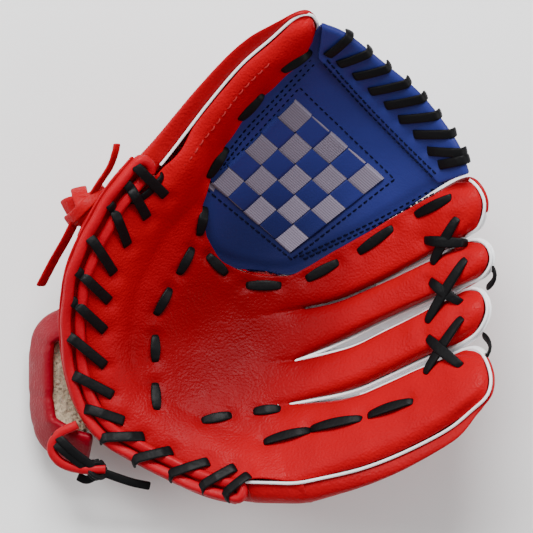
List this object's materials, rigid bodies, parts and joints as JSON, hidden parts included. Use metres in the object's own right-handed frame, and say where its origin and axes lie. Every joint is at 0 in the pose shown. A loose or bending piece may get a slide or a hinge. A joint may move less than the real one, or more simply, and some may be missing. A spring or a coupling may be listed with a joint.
{
  "type": "fielder's glove",
  "caption": "Left-hand baseball fielder's glove with separate laced finger stalls, a woven closed web, a laced heel and a wrist strap; it folds shut along the pocket.",
  "frame": {"origin": "centre of the glove's box in plan, on the surface it lies on", "axes": "+X along the fingers, +Y towards the thumb, +Z out of the pocket, glove lying on its back"},
  "size_m": [0.252, 0.2652, 0.1317],
  "materials": {
    "red_leather": "pebbled satin synthetic leather",
    "white_leather": "satin",
    "blue_leather": "smooth satin",
    "grey_ribbon": "ribbed woven ribbon",
    "black_lace": "matte lace",
    "felt_pad": "felt",
    "lining_cloth": "knitted lining",
    "fleece": "deep pile",
    "stiffener_plastic": "matte"
  },
  "bodies": {
    "hand": {"back_crease": "red_leather", "hand_back": "red_leather", "index_back": "red_leather", "index_front": "red_leather", "index_gusset": "white_leather", "index_piping": "white_leather", "index_web_lace": "black_lace", "lace_knot": "black_lace", "lace_tail": "black_lace", "little_back": "red_leather", "little_front": "red_leather", "little_gusset": "white_leather", "little_heel_inner_roll": "red_leather", "little_heel_lace": "black_lace", "little_heel_outer_roll": "red_leather", "little_heel_pad": "felt_pad", "little_lace": "black_lace", "little_loop": "red_leather", "little_piping": "white_leather", "little_side_wall": "red_leather", "little_stiffener": "stiffener_plastic", "middle_back": "red_leather", "middle_front": "red_leather", "middle_gusset": "white_leather", "middle_piping": "white_leather", "palm_crease": "red_leather", "palm_lace": "black_lace", "palm_leather": "red_leather", "palm_lining": "lining_cloth", "pocket_lace": "black_lace", "ring_back": "red_leather", "ring_front": "red_leather", "ring_gusset": "white_leather", "ring_piping": "white_leather", "strap_fleece": "fleece", "tip_lace_1": "black_lace", "tip_lace_2": "black_lace", "tip_lace_3": "black_lace", "web_lace": "black_lace", "web_panel": "blue_leather", "web_top_band": "blue_leather", "web_weave": "grey_ribbon", "wrist_strap": "red_leather"},
    "thumb": {"thumb_back": "red_leather", "thumb_front": "red_leather", "thumb_gusset": "red_leather", "thumb_heel_inner_roll": "red_leather", "thumb_heel_lace": "black_lace", "thumb_heel_outer_roll": "red_leather", "thumb_heel_pad": "felt_pad", "thumb_lining": "lining_cloth", "thumb_palm_lace": "black_lace", "thumb_piping": "white_leather", "thumb_stiffener": "stiffener_plastic", "thumb_web_lace": "black_lace", "tie_knot": "red_leather", "tie_loop": "red_leather"},
    "tie": {"tie_tail": "red_leather"}
  },
  "joints": [
    {"name": "glove_close", "type": "hinge", "parent": "hand", "child": "thumb", "pos_m": [-0.0105, -0.0142, 0.014], "axis": [0.9326, 0.361, 0], "range_deg": [0, 30], "deforming": ["palm_crease", "back_crease", "pocket_lace", "web_panel", "web_top_band", "web_weave", "web_lace", "wrist_strap", "strap_fleece"]},
    {"name": "tie_swing", "type": "hinge", "parent": "thumb", "child": "tie", "pos_m": [-0.1, 0.0213, 0.067], "axis": [0, 0, 1], "range_deg": [-12, 12]}
  ]
}
